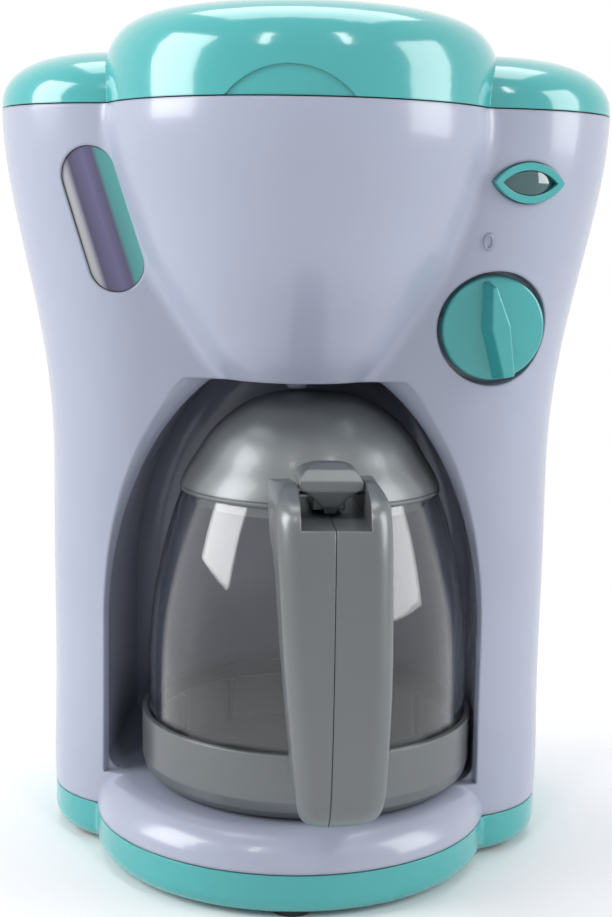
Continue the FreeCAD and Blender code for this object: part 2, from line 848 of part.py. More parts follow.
def pump_case():
    """Round pump case with an inlet stub on top and an outlet over the nozzle."""
    wall = size["pump_wall"]
    case = cylinder(size["pump_radius"], size["pump_height"], V(0, 0, pump_floor))
    stub = cylinder(size["spout_radius"], size["spout_length"], V(size["hose_x"], 0, pump_top - 0.5))
    hollow = cylinder(
        size["pump_radius"] - wall, size["pump_height"] - 2.0 * wall, V(0, 0, pump_floor + wall)
    )
    case = case.fuse(stub).cut(hollow)
    case = case.cut(cylinder(size["nozzle_bore"], wall + 2.0, V(0, 0, pump_floor - 1.0)))
    shaft = size["motor_shaft_radius"] + size["running_gap"]
    case = case.cut(cylinder(shaft, wall + 2.0, V(0, 0, pump_top - wall - 1.0)))
    inlet = cylinder(
        size["spout_bore"], size["spout_length"] + wall + 1.0,
        V(size["hose_x"], 0, pump_top - wall - 0.5),
    )
    return case.cut(inlet)


def pump_rotor():
    """Impeller and its shaft, which reaches up into the motor."""
    low = pump_floor + size["pump_wall"] + 0.3
    hub = cylinder(2.6, size["impeller_height"] + 1.5, V(0, 0, low))
    shaft = cylinder(
        size["motor_shaft_radius"], pump_top + size["motor_height"] * 0.6 - low, V(0, 0, low)
    )
    rotor = hub.fuse(shaft)
    for turn in range(6):
        blade = box(
            V(0.5, -0.5, low), V(size["impeller_radius"], 0.5, low + size["impeller_height"])
        )
        blade.rotate(V(0, 0, 0), V(0, 0, 1), 60.0 * turn)
        rotor = rotor.fuse(blade)
    return rotor


def dial():
    """Domed disc with a tapered blade, drawn about the shaft's axis."""
    radius = size["dial_radius"]
    back = 0.6 - size["well_depth"]
    face = -size["dial_face"]
    crown = face + size["dial_crown"]
    rim = 0.8
    lean = math.sqrt(0.5)
    edge_low = V(radius, 0, face - rim)
    edge_top = V(radius - rim, 0, face)
    bend = V(radius - rim + rim * lean, 0, face - rim + rim * lean)
    inside = radius - size["dial_skin"]
    skin = face - size["dial_skin"]
    hub = size["dial_shaft_radius"] + 1.6
    bore = size["dial_shaft_radius"] + size["running_gap"] / 2.0
    bore_top = skin
    hub_low = size["fit_gap"] + 0.1 - size["well_depth"]
    edges = chain([V(0, 0, bore_top), V(bore, 0, bore_top), V(bore, 0, hub_low), V(hub, 0, hub_low)])
    edges += chain([V(hub, 0, hub_low), V(hub, 0, skin), V(inside, 0, skin), V(inside, 0, back)])
    edges += chain([V(inside, 0, back), V(radius, 0, back), edge_low])
    edges.append(Part.Arc(edge_low, bend, edge_top).toShape())
    crest = V(0, 0, crown)
    middle = V(radius * 0.5, 0, face + size["dial_crown"] * 0.76)
    edges.append(Part.Arc(edge_top, middle, crest).toShape())
    edges.append(Part.makeLine(crest, V(0, 0, bore_top)))
    disc = turn_solid(edges)
    low = face - 0.5
    high = size["blade_height"]

    def blade_outline(level, tip, middle_width, tail_width, reach):
        right = [V(tip, reach, level), V(middle_width, 1.0, level), V(tail_width, -reach - 0.5, level)]
        left = [V(-spot.x, spot.y, level) for spot in reversed(right)]
        return Part.makePolygon(right + left + right[:1])

    reach = radius - 1.1
    blade = Part.makeLoft(
        [
            blade_outline(low, 0.9, 3.7, 2.5, reach),
            blade_outline(high, 0.6, 2.3, 1.4, reach - 1.0),
        ],
        True, True,
    )
    edges = [edge for edge in blade.Edges if edge.BoundBox.ZMax > low + 0.1]
    blade = blade.makeFillet(0.5, edges)
    blade.rotate(V(0, 0, 0), V(0, 0, 1), size["blade_lean"])
    return disc.fuse(blade)


def skin_slice(inset_out, inset_in, low, high):
    """Thin slice of the body's sides between two depths and two heights."""
    return sides(inset_out, low, high).cut(sides(inset_in, low - 1.0, high + 1.0))


def numeral():
    """Plain raised nought above the dial."""
    rise = size["numeral_height"] / 2.0
    wide = size["numeral_width"] / 2.0
    stroke = size["numeral_stroke"]
    centre = V(size["numeral_x"], -far / 2.0, size["numeral_z"])

    def oval(half_high, half_wide):
        shape = Part.Ellipse(
            centre + V(0, 0, half_high), centre + V(half_wide, 0, 0), centre
        ).toShape()
        return Part.Face(Part.Wire([shape])).extrude(V(0, far / 2.0, 0))

    ring = oval(rise, wide).cut(oval(rise - stroke, wide - stroke))
    low = size["seam_height"]
    return ring.common(skin_slice(-size["numeral_relief"], 0.0, low, size["head_seam"]))


def window_pane():
    outer = size["window_recess"]
    depth = outer + size["window_lens_thickness"]
    low = size["seam_height"]
    skin = skin_slice(outer, depth, low, size["head_seam"])
    return capsule(0.0, 0.0, -far / 2.0, 0.0).common(skin)


def window_frame():
    """Teal frame that holds the pane from inside, wider on its right side."""
    start = size["housing_wall"] + size["fit_gap"]
    skin = skin_slice(start, start + size["window_frame_depth"], size["seam_height"], size["head_seam"])
    ring = capsule(size["window_frame_width"], 0.0, -far / 2.0, 0.0)
    ring = ring.cut(capsule(-size["window_frame_lip"], -2.2, -far, far))
    return ring.common(skin)


def bezel():
    """Eye-shaped ring round the indicator."""
    width = size["bezel_width"]
    outer = almond(
        size["lamp_half_length"], size["lamp_half_height"], -size["lamp_pocket"], size["bezel_rise"]
    )
    inner = almond(size["lamp_half_length"] - width, size["lamp_half_height"] - width, -far, far)
    return outer.cut(inner)


def indicator():
    """Green eye-shaped lens with a crowned face."""
    width = size["bezel_width"] + size["fit_gap"]
    length = size["lamp_half_length"] - width
    height = size["lamp_half_height"] - width
    back = -size["lamp_pocket"] - size["housing_wall"]
    block = almond(length, height, back, 2.0 * size["lens_rise"])
    radius = 14.0
    crown = Part.makeSphere(radius, V(0, 0, size["lens_rise"] - radius))
    return block.common(crown)


def battery_box():
    wall = size["box_wall"]
    half = size["box_half_width"]
    front = size["niche_back"] + size["housing_wall"] + 1.5
    back = size["back_plane"] - size["housing_wall"]
    low = size["box_floor"]
    case = box(V(-half, front, low), V(half, back, box_top))
    bay_top = box_top - wall - size["screw_bay"]
    bay = box(V(-half + wall, front + wall, low + wall), V(half - wall, far, bay_top - wall))
    upper = box(V(-half + wall, front + wall, bay_top), V(half - wall, far, box_top - wall))
    middle = (bay_top + box_top - wall) / 2.0
    post = cylinder(size["door_boss_radius"], back - front, V(0, front, middle), V(0, 1, 0))
    hole = cylinder(
        size["screw_radius"] + size["running_gap"], back - front - 2.0 * wall,
        V(0, front + 2.0 * wall, middle), V(0, 1, 0),
    )
    return case.cut(bay).cut(upper).fuse(post).cut(hole)


cell_front = size["niche_back"] + size["housing_wall"] + 1.5 + size["box_wall"]
cell_y = cell_front + size["cell_radius"] + 0.3
cell_low = size["box_floor"] + size["box_wall"] + size["contact_thickness"] + size["contact_travel"]
door_screw_z = box_top - size["box_wall"] - size["screw_bay"] / 2.0


def cells():
    """Two round cells side by side, head to tail."""
    shapes = []
    nub = 1.2
    for side, flip in ((1.0, False), (-1.0, True)):
        across = side * size["cell_spacing"] / 2.0
        can = cylinder(size["cell_radius"], size["cell_length"] - nub, V(0, 0, 0))
        can = can.fuse(cylinder(2.7, nub, V(0, 0, size["cell_length"] - nub)))
        if flip:
            can.rotate(V(0, 0, size["cell_length"] / 2.0), V(1, 0, 0), 180)
        can.translate(V(across, cell_y, cell_low))
        shapes.append(can)
    return Part.makeCompound(shapes)


def contacts():
    """Four plates with a spring cone or a raised nub, at the ends of the cells."""
    shapes = []
    plate = size["contact_thickness"]
    reach = size["contact_travel"] - 0.2
    floor = size["box_floor"] + size["box_wall"]
    roof = cell_low + size["cell_length"] + size["contact_travel"]
    for side in (-1.0, 1.0):
        across = side * size["cell_spacing"] / 2.0
        low = box(V(across - 6.0, cell_y - 6.0, floor), V(across + 6.0, cell_y + 6.0, floor + plate))
        cone = Part.makeCone(4.0, 2.2, reach, V(across, cell_y, floor + plate))
        shapes.append(low.fuse(cone))
        high = box(V(across - 6.0, cell_y - 6.0, roof), V(across + 6.0, cell_y + 6.0, roof + plate))
        tip = Part.makeCone(2.2, 4.0, reach, V(across, cell_y, roof - reach))
        shapes.append(high.fuse(tip))
    return Part.makeCompound(shapes)


def battery_door():
    gap = size["panel_gap"]
    half = size["box_half_width"] - size["box_wall"] - gap
    low = size["box_floor"] + size["box_wall"] + gap
    back = size["back_plane"]
    plate = box(
        V(-half, back - size["door_thickness"], low),
        V(half, back, box_top - size["box_wall"] - gap),
    )
    corners = [edge for edge in plate.Edges if edge.BoundBox.YLength > size["door_thickness"] - 0.01]
    plate = plate.makeFillet(1.0, corners)
    for turn in range(4):
        level = low + 6.0 + 3.0 * turn
        groove = cylinder(0.5, 18.0, V(-9.0, back, level), V(1, 0, 0))
        plate = plate.cut(groove)
    hole = cylinder(size["screw_radius"] + size["fit_gap"], 9.0, V(0, back - 6.0, door_screw_z), V(0, 1, 0))
    sink = cylinder(
        size["screw_head_radius"] + size["fit_gap"], 3.0, V(0, back - 1.0, door_screw_z), V(0, 1, 0)
    )
    return plate.cut(hole).cut(sink)


def door_screw():
    head = cylinder(size["screw_head_radius"], 0.9, V(0, 0, 0))
    shank = cylinder(size["screw_radius"], 10.0, V(0, 0, -10.0))
    slot = box(V(-2.0, -0.35, 0.4), V(2.0, 0.35, 1.2))
    cross = box(V(-0.35, -2.0, 0.4), V(0.35, 2.0, 1.2))
    return head.fuse(shank).cut(slot).cut(cross)


# carafe, drawn about its own axis with the handle towards -Y
carafe_frame = FreeCAD.Placement(
    V(size["carafe_x"], 0, 0), FreeCAD.Rotation(V(0, 0, 1), size["carafe_turn"])
)
cup_low = size["platform_top"] + size["fit_gap"]
groove_low = cup_low + size["cup_floor"] + 1.0
skirt_radius = size["cup_radius"] - size["cup_wall"] - size["fit_gap"]


def jug_line(inset):
    """Outer or inner line of the clear jug, from the cup up to its rim."""
    waist = size["jug_waist_radius"] - inset
    low = size["cup_top"]
    high = size["jug_top"]
    middle = size["jug_waist_height"]
    top = size["jug_top_radius"] - inset
    foot = skirt_radius - inset
    points = [
        V(foot, 0, low),
        V(foot - 0.2, 0, low + (middle - low) * 0.6),
        V(waist, 0, middle),
        V(waist - (waist - top) * 0.28, 0, middle + (high - middle) * 0.38),
        V(waist - (waist - top) * 0.72, 0, middle + (high - middle) * 0.8),
        V(top, 0, high),
    ]
    curve = Part.BSplineCurve()
    curve.interpolate(points)
    return curve.toShape()


def jug():
    wall = size["jug_wall"]
    foot = skirt_radius
    low = groove_low + 0.1
    high = size["jug_top"]
    top = size["jug_top_radius"]
    joint = size["cup_top"]
    edges = [jug_line(0.0), jug_line(wall)]
    edges += chain([V(foot, 0, joint), V(foot, 0, low), V(foot - wall, 0, low), V(foot - wall, 0, joint)])
    edges.append(Part.makeLine(V(top, 0, high), V(top - wall, 0, high)))
    return turn_solid(Part.__sortEdges__(edges))


def carafe_dome(inset):
    """Form of the carafe lid above the collar."""
    low = size["jug_top"] + size["collar_thickness"] + 0.1
    top = size["lid_top"] - inset
    wide = size["collar_radius"] - inset
    rise = top - low
    shares = [(1.0, 0.0), (0.95, 0.155), (0.874, 0.32), (0.766, 0.55), (0.623, 0.74)]
    shares += [(0.434, 0.9), (0.2, 0.98), (0.0, 1.0)]
    edges = [curve_through([V(wide * out, 0, low + rise * up) for out, up in shares])]
    edges += chain([V(0, 0, top), V(0, 0, low), V(wide, 0, low)])
    return turn_solid(edges)


handle_inner = size["handle_front"] - size["handle_depth"]
pin_place = (size["collar_radius"] + 11.0, size["lever_slot_floor"] + 3.6)


def lever():
    """Thumb lever of the lid: an arm along the slot and a rounded pad that narrows to a stem."""
    half = size["lever_half_width"]
    floor = size["lever_slot_floor"]
    top = size["lever_top"]
    rear = size["collar_radius"] - 6.0
    face = size["handle_front"] - 16.0
    arm = box(V(-half / 2.0, -face + 5.0, floor + 1.1), V(half / 2.0, -rear, floor + 5.6))
    side = [
        (face - 4.6, floor + 1.1), (face - 1.8, floor + 0.8), (face - 0.6, floor + 2.6),
        (face, floor + 6.1), (face - 0.3, top - 3.2), (face - 2.8, top - 1.0),
        (face - 6.3, top - 0.1), (face - 9.8, top), (face - 13.3, top - 1.4),
        (face - 16.3, top - 3.8), (face - 18.0, floor + 5.6), (face - 18.0, floor + 1.1),
    ]
    profile = Part.Face(Part.Wire(chain([V(0, -out, up) for out, up in side + side[:1]])))
    pad = profile.extrude(V(2.0 * half, 0, 0))
    pad.translate(V(-half, 0, 0))
    right = [
        V(1.3, -far, floor), V(1.4, -far, floor + 1.4), V(2.2, -far, floor + 2.9),
        V(4.2, -far, floor + 4.9), V(half - 0.3, -far, floor + 6.4),
    ]
    crown = [
        V(half - 0.3, -far, floor + 6.4), V(half, -far, floor + 7.8), V(half - 1.6, -far, top - 1.3),
        V(half * 0.45, -far, top - 0.2), V(0, -far, top + 0.05),
    ]

    def flipped(spots):
        return [V(-spot.x, spot.y, spot.z) for spot in reversed(spots)]

    edges = [curve_through(right), curve_through(crown + flipped(crown)[1:]), curve_through(flipped(right))]
    edges.append(Part.makeLine(V(-1.3, -far, floor), V(1.3, -far, floor)))
    front = Part.Face(Part.Wire(edges)).extrude(V(0, far, 0))
    return arm.fuse(pad.common(front))


def carafe_lid():
    low = size["jug_top"] + size["collar_thickness"] + 0.1
    skin = size["lid_skin"]
    shell = carafe_dome(0.0).cut(carafe_dome(skin))
    plug_radius = size["collar_radius"] - size["collar_width"] - size["fit_gap"]
    plug = cylinder(plug_radius, size["lid_plug_depth"] + 1.0, V(0, 0, low - size["lid_plug_depth"]))
    core = cylinder(plug_radius - skin, far, V(0, 0, low - size["lid_plug_depth"] - 1.0))
    web = cylinder(size["collar_radius"] - 1.6, 1.6, V(0, 0, low))
    shell = shell.fuse(web.cut(core)).fuse(plug.cut(core))
    arm = lever().cut(carafe_dome(skin))
    shell = shell.fuse(arm)
    bore = size["lid_pin_radius"] + size["running_gap"]
    return shell.cut(cylinder(bore, far, V(-far / 2.0, -pin_place[0], pin_place[1]), V(1, 0, 0)))


def handle_section(half, front, level):
    """Horizontal section of the handle: a strip with two rounded front corners."""
    corner = min(size["handle_round"], half - 0.6)
    lean = corner * (1.0 - math.sqrt(0.5))
    back = -size["collar_radius"] + 5.0
    right = [
        V(half, back, level), V(half, corner - front, level),
        V(half - lean, lean - front, level), V(half - corner, -front, level),
    ]
    left = [V(-spot.x, spot.y, level) for spot in right]
    return Part.Wire([
        Part.makeLine(left[0], right[0]),
        Part.makeLine(right[0], right[1]),
        Part.Arc(right[1], right[2], right[3]).toShape(),
        Part.makeLine(right[3], left[3]),
        Part.Arc(left[3], left[2], left[1]).toShape(),
        Part.makeLine(left[1], left[0]),
    ])


def handle_form():
    """Deep looped handle, before it is split in two halves."""
    half = size["handle_half_width"]
    front = size["handle_front"]
    top = size["handle_top"]
    foot = size["handle_foot"]
    rise = top - foot
    cup = size["cup_radius"] + 0.3
    jug_edge = size["collar_radius"] + 0.3
    shares = [(0.0, 14.8, 0.4), (0.012, 10.4, 0.56), (0.045, 6.0, 0.71), (0.095, 3.2, 0.785)]
    shares += [(0.16, 1.6, 0.82), (0.29, 0.45, 0.872), (0.42, 0.0, 0.92), (0.59, 0.25, 0.96)]
    shares += [(0.75, 0.8, 0.985), (0.9, 2.0, 1.0), (0.945, 3.4, 0.985), (0.975, 6.6, 0.93)]
    shares += [(0.992, 10.6, 0.85), (1.0, 17.5, 0.7)]
    sections = [handle_section(half * out, front - back, foot + rise * up) for up, back, out in shares]
    grip = Part.makeLoft(sections, True, False)
    inner = [
        V(0, -(cup + 4.0), size["cup_top"] + 1.0),
        V(0, -(handle_inner - 2.6), size["cup_top"] + 7.0),
        V(0, -handle_inner, foot + rise * 0.4),
        V(0, -(handle_inner - 0.8), foot + rise * 0.6),
        V(0, -(handle_inner - 5.5), foot + rise * 0.735),
        V(0, -(jug_edge + 4.0), foot + rise * 0.775),
    ]
    edges = chain([inner[-1], V(0, -jug_edge, size["jug_top"] - 1.0), V(0, -jug_edge, top - 3.0)])
    edges += chain([V(0, -jug_edge, top - 3.0), V(0, -front + 18.8, top + 0.1), V(0, -far, top + 0.1)])
    edges += chain([V(0, -far, top + 0.1), V(0, -far, 0), V(0, -cup, 0), V(0, -cup, size["cup_top"]), inner[0]])
    edges.append(curve_through(inner))
    side = Part.Face(Part.Wire(Part.__sortEdges__(edges)))
    loop = side.extrude(V(4.0 * half, 0, 0))
    loop.translate(V(-2.0 * half, 0, 0))
    loop = loop.common(grip)
    loop.rotate(V(0, 0, size["lever_slot_floor"]), V(0, 1, 0), -size["handle_lean"])
    wide = size["lever_slot_half"]
    slot = box(V(-wide, -far, size["lever_slot_floor"]), V(wide, 0, far))
    loop = loop.cut(slot)
    bore = size["lid_pin_radius"] + size["fit_gap"] / 2.0
    return loop.cut(cylinder(bore, 2.0 * (half - 2.0), V(2.0 - half, -pin_place[0], pin_place[1]), V(1, 0, 0)))


def handle_halves():
    loop = handle_form()
    gap = size["handle_seam"] / 2.0
    left = loop.common(box(V(-far, -far, 0), V(-gap, far, far + far)))
    right = loop.common(box(V(gap, -far, 0), V(far, far, far + far)))
    return left, right


def handle_screws():
    """Two screws that draw the handle halves together."""
    shapes = []
    middle = size["handle_front"] - size["handle_depth"] / 2.0
    for level in (size["handle_foot"] + 12.0, size["lever_slot_floor"] - 8.0):
        base = V(size["handle_half_width"] - 3.0, -middle, level)
        head = cylinder(size["screw_head_radius"] - 0.4, 1.6, base, V(1, 0, 0))
        shank = cylinder(size["screw_radius"] - 0.3, 17.0, base, V(-1, 0, 0))
        shapes.append(head.fuse(shank))
    return shapes


def with_screw_holes(shape):
    middle = size["handle_front"] - size["handle_depth"] / 2.0
    for level in (size["handle_foot"] + 12.0, size["lever_slot_floor"] - 8.0):
        start = V(size["handle_half_width"] - 3.0, -middle, level)
        head = cylinder(size["screw_head_radius"], far, start, V(1, 0, 0))
        shank = cylinder(size["screw_radius"] - 0.2, 17.2, start, V(-1, 0, 0))
        shape = shape.cut(head).cut(shank)
    return shape


# sub-parts
nodes = []
front_shape, back_shape = front_and_back()
nodes.append(formed("front_housing", front_shape))
nodes.append(formed("back_housing", back_shape))
nodes.append(formed("base_cover", base_tub()))
nodes.append(formed("foot_pads", feet()))
nodes.append(formed("housing_screws", Part.makeCompound([screw(*spot) for spot in screw_places])))
nodes.append(formed("top_lid", top_lid()))
nodes.append(formed("lid_hinge_pins", hinge_pins()))
nodes.append(formed("water_tank", tank()))
nodes.append(formed("pump_case", pump_case()))
nodes.append(formed("pump_rotor", pump_rotor()))
nodes.append(formed("dial", dial(), dial_frame))
nodes.append(formed("dial_numeral", numeral()))
nodes.append(formed("window_pane", window_pane()))
nodes.append(formed("window_frame", window_frame()))
nodes.append(formed("indicator_bezel", bezel(), lamp_frame))
nodes.append(formed("indicator_lens", indicator(), lamp_frame))
nodes.append(formed("battery_box", battery_box()))
nodes.append(formed("battery_cells", cells()))
nodes.append(formed("battery_contacts", contacts()))
nodes.append(formed("battery_door", battery_door()))
door_screw_frame = FreeCAD.Placement(
    V(0, size["back_plane"] - 1.0, door_screw_z), FreeCAD.Rotation(V(1, 0, 0), -90)
)
nodes.append(formed("door_screw", door_screw(), door_screw_frame))
nodes.append(formed("carafe_jug", jug(), carafe_frame))
nodes.append(formed("carafe_lid", carafe_lid(), carafe_frame))
left_half, right_half = handle_halves()
nodes.append(formed("handle_left", with_screw_holes(left_half), carafe_frame))
nodes.append(formed("handle_right", with_screw_holes(right_half), carafe_frame))
nodes.append(formed("handle_screws", Part.makeCompound(handle_screws()), carafe_frame))

ceiling_top = "sizes.niche_ceiling + sizes.housing_wall"
flange_top = ceiling_top + " + sizes.nozzle_flange_thickness"
nozzle = turned("drip_nozzle", [
    ("sizes.nozzle_bore", "sizes.nozzle_tip"),
    ("sizes.nozzle_radius - 0.8", "sizes.nozzle_tip"),
    ("sizes.nozzle_radius", "sizes.nozzle_tip + 1.6"),
    ("sizes.nozzle_radius", ceiling_top),
    ("sizes.nozzle_flange", ceiling_top),
    ("sizes.nozzle_flange", flange_top),
    ("sizes.nozzle_bore", flange_top),
])
nodes.append(nozzle)

case_top = flange_top + " + sizes.pump_height"
motor_bore = "sizes.motor_shaft_radius + sizes.running_gap"
motor_top = case_top + " + sizes.motor_height"
motor = turned("pump_motor", [
    (motor_bore, case_top),
    ("sizes.motor_radius", case_top),
    ("sizes.motor_radius", motor_top),
    ("0", motor_top),
    ("0", case_top + " + sizes.motor_height * 0.65"),
    (motor_bore, case_top + " + sizes.motor_height * 0.65"),
])
nodes.append(motor)

hose = turned("inlet_hose", [
    ("sizes.hose_bore", case_top),
    ("sizes.hose_radius", case_top),
    ("sizes.hose_radius", "sizes.tank_floor"),
    ("sizes.hose_bore", "sizes.tank_floor"),
])
hose.Placement = FreeCAD.Placement(V(size["hose_x"], 0, 0), FreeCAD.Rotation())
nodes.append(hose)

well_back = "-sizes.well_depth - sizes.housing_wall"
switch_top = well_back + " - 0.1"
switch = turned("rotary_switch", [
    ("sizes.dial_shaft_radius + sizes.running_gap", "-sizes.well_depth - 0.4"),
    ("sizes.bushing_radius", "-sizes.well_depth - 0.4"),
    ("sizes.bushing_radius", switch_top),
    ("sizes.switch_radius", switch_top),
    ("sizes.switch_radius", switch_top + " - sizes.switch_length"),
    ("0", switch_top + " - sizes.switch_length"),
    ("0", switch_top + " - sizes.switch_length + 1.5"),
    ("sizes.dial_shaft_radius + sizes.running_gap", switch_top + " - sizes.switch_length + 1.5"),
])
switch.Placement = dial_frame
nodes.append(switch)

shaft = turned("dial_shaft", [
    ("0", switch_top + " - sizes.switch_length + 1.8"),
    ("sizes.dial_shaft_radius", switch_top + " - sizes.switch_length + 1.8"),
    ("sizes.dial_shaft_radius", "-sizes.dial_face - sizes.dial_skin - 0.1"),
    ("0", "-sizes.dial_face - sizes.dial_skin - 0.1"),
])
shaft.Placement = dial_frame
nodes.append(shaft)

lens_back = "-sizes.lamp_pocket - sizes.housing_wall"
led = turned("indicator_led", [
    ("0", lens_back + " - 0.2"),
    ("sizes.led_radius - 0.8", lens_back + " - 0.2"),
    ("sizes.led_radius", lens_back + " - 1.2"),
    ("sizes.led_radius", lens_back + " - sizes.led_length"),
    ("0", lens_back + " - sizes.led_length"),
])
led.Placement = lamp_frame
nodes.append(led)

board = padded("led_board", "XY_Plane", [
    ("-sizes.board_width / 2", "-sizes.board_height / 2"),
    ("sizes.board_width / 2", "-sizes.board_height / 2"),
    ("sizes.board_width / 2", "sizes.board_height / 2"),
    ("-sizes.board_width / 2", "sizes.board_height / 2"),
], "sizes.board_thickness", lens_back + " - sizes.led_length - sizes.board_thickness")
board.Placement = lamp_frame
nodes.append(board)

collar = turned("carafe_collar", [
    ("sizes.collar_radius - sizes.collar_width", "sizes.jug_top"),
    ("sizes.collar_radius", "sizes.jug_top"),
    ("sizes.collar_radius", "sizes.jug_top + sizes.collar_thickness"),
    ("sizes.collar_radius - sizes.collar_width", "sizes.jug_top + sizes.collar_thickness"),
])
collar.Placement = carafe_frame
nodes.append(collar)

cup_bottom = "sizes.platform_top + sizes.fit_gap"
groove_outer = "sizes.cup_radius - sizes.cup_wall"
groove_inner = groove_outer + " - sizes.jug_wall - 2 * sizes.fit_gap"
cup = turned("carafe_cup", [
    ("0", cup_bottom),
    ("sizes.cup_radius - sizes.cup_round", cup_bottom),
    ("sizes.cup_radius - sizes.cup_round * (1 - sin(30))", cup_bottom + " + sizes.cup_round * (1 - cos(30))"),
    ("sizes.cup_radius - sizes.cup_round * (1 - sin(60))", cup_bottom + " + sizes.cup_round * (1 - cos(60))"),
    ("sizes.cup_radius", cup_bottom + " + sizes.cup_round"),
    ("sizes.cup_radius", "sizes.cup_top"),
    (groove_outer, "sizes.cup_top"),
    (groove_outer, cup_bottom + " + sizes.cup_floor + 1"),
    (groove_inner, cup_bottom + " + sizes.cup_floor + 1"),
    (groove_inner, "sizes.ring_top"),
    (groove_inner + " - sizes.ring_wall", "sizes.ring_top"),
    (groove_inner + " - sizes.ring_wall", cup_bottom + " + sizes.cup_floor"),
    ("0", cup_bottom + " + sizes.cup_floor"),
])
rib_sketch = outline_sketch(cup, "cup_rib_outline", "XY_Plane", [
    (groove_inner + " - sizes.ring_wall - sizes.rib_depth", "-sizes.rib_width / 2"),
    (groove_inner + " - 0.2", "-sizes.rib_width / 2"),
    (groove_inner + " - 0.2", "sizes.rib_width / 2"),
    (groove_inner + " - sizes.ring_wall - sizes.rib_depth", "sizes.rib_width / 2"),
], cup_bottom + " + sizes.cup_floor - 0.2")
rib = cup.newObject("PartDesign::Pad", "cup_rib")
rib.Profile = rib_sketch
rib.setExpression("Length", "sizes.ring_top - (" + cup_bottom + " + sizes.cup_floor - 0.2)")
doc.recompute()
ribs = cup.newObject("PartDesign::PolarPattern", "cup_ribs")
ribs.Originals = [rib]
ribs.Axis = (rib_sketch, ["N_Axis"])
ribs.Angle = 360
ribs.Occurrences = int(size["rib_count"])
cup.Tip = ribs
doc.recompute()
cup.Placement = carafe_frame
nodes.append(cup)

pin = doc.addObject("Part::Cylinder", "lid_pin")
pin.setExpression("Radius", "sizes.lid_pin_radius")
pin.setExpression("Height", "2 * sizes.handle_half_width - 4.4")
doc.recompute()
pin_offset = FreeCAD.Placement(
    V(2.2 - size["handle_half_width"], -pin_place[0], pin_place[1]),
    FreeCAD.Rotation(V(0, 1, 0), 90),
)
pin.Placement = carafe_frame.multiply(pin_offset)
nodes.append(pin)
doc.recompute()

# checks, then one STEP file for each sub-part
for item in doc.Objects:
    if "Invalid" in item.State or "Error" in item.State:
        raise ValueError(item.Name + " has failed")
whole = None
for node in nodes:
    shape = node.Shape
    if shape.isNull() or not shape.isValid() or shape.Volume <= 0.0:
        raise ValueError(node.Label + " is not a sound shape")
    shape.exportStep("parts/" + node.Label + ".step")
    room = shape.BoundBox
    whole = FreeCAD.BoundBox(room) if whole is None else whole
    whole.add(room)
    print(node.Label, len(shape.Solids), "solids", round(shape.Volume), "cubic mm")
print("overall", whole)
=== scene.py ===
import json
import math

import bpy
from mathutils import Matrix, Vector

# Toy coffee maker: finishes, floor, light and camera. Metres, Z up.
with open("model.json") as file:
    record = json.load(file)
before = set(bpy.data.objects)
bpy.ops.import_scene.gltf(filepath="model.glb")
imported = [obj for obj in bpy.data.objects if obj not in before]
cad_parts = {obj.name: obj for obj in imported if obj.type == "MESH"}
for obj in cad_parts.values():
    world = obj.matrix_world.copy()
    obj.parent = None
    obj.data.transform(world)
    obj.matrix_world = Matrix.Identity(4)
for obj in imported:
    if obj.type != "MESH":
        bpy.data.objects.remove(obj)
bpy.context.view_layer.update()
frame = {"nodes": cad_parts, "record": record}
nodes = frame["nodes"]

MM = 0.001

# colours, linear
LAVENDER = (0.345, 0.370, 0.465)
TEAL = (0.044, 0.350, 0.350)
SILVER = (0.138, 0.150, 0.156)
WHITE = (0.800, 0.800, 0.780)
# indicator lens: its own green tint, darkened by painted shade of the inside seen through it
LENS_GREEN_PAINTED_SHADE = (0.018, 0.080, 0.084)

# the water window: its lean off the vertical, and its axis and half width across that lean
WINDOW_LEAN = 0.302
WINDOW_AXIS = 0.0018
WINDOW_HALF = 0.0072


# material helpers
def new_material(name):
    """A node material with an empty principled shader."""
    material = bpy.data.materials.new(name)
    material.use_nodes = True
    shader = material.node_tree.nodes["Principled BSDF"]
    return material, material.node_tree, shader


def noise(tree, scale, detail, roughness=0.5):
    """Noise over the object's own coordinates."""
    place = tree.nodes.new("ShaderNodeTexCoord")
    texture = tree.nodes.new("ShaderNodeTexNoise")
    texture.inputs["Scale"].default_value = scale
    texture.inputs["Detail"].default_value = detail
    texture.inputs["Roughness"].default_value = roughness
    tree.links.new(place.outputs["Object"], texture.inputs["Vector"])
    return texture.outputs["Fac"]


def span(tree, value, low, high):
    """Maps a value from 0..1 to low..high."""
    node = tree.nodes.new("ShaderNodeMapRange")
    node.inputs["To Min"].default_value = low
    node.inputs["To Max"].default_value = high
    tree.links.new(value, node.inputs["Value"])
    return node.outputs["Result"]


def shade(tree, value, dark, light):
    """A colour between two tones."""
    ramp = tree.nodes.new("ShaderNodeValToRGB")
    ramp.color_ramp.elements[0].position = 0.3
    ramp.color_ramp.elements[0].color = (*dark, 1.0)
    ramp.color_ramp.elements[1].position = 0.7
    ramp.color_ramp.elements[1].color = (*light, 1.0)
    tree.links.new(value, ramp.inputs["Fac"])
    return ramp.outputs["Color"]


def bump(tree, shader, height, strength, distance, softness=0.0):
    """Fine relief, over edges that are rounded by the softness."""
    node = tree.nodes.new("ShaderNodeBump")
    if softness:
        soft = tree.nodes.new("ShaderNodeBevel")
        soft.samples = 4
        soft.inputs["Radius"].default_value = softness
        tree.links.new(soft.outputs["Normal"], node.inputs["Normal"])
    node.inputs["Strength"].default_value = strength
    node.inputs["Distance"].default_value = distance
    tree.links.new(height, node.inputs["Height"])
    tree.links.new(node.outputs["Normal"], shader.inputs["Normal"])


def tones(colour, spread):
    """Slightly darker and lighter tones of a colour."""
    return tuple(c * (1.0 - spread) for c in colour), tuple(c * (1.0 + spread) for c in colour)


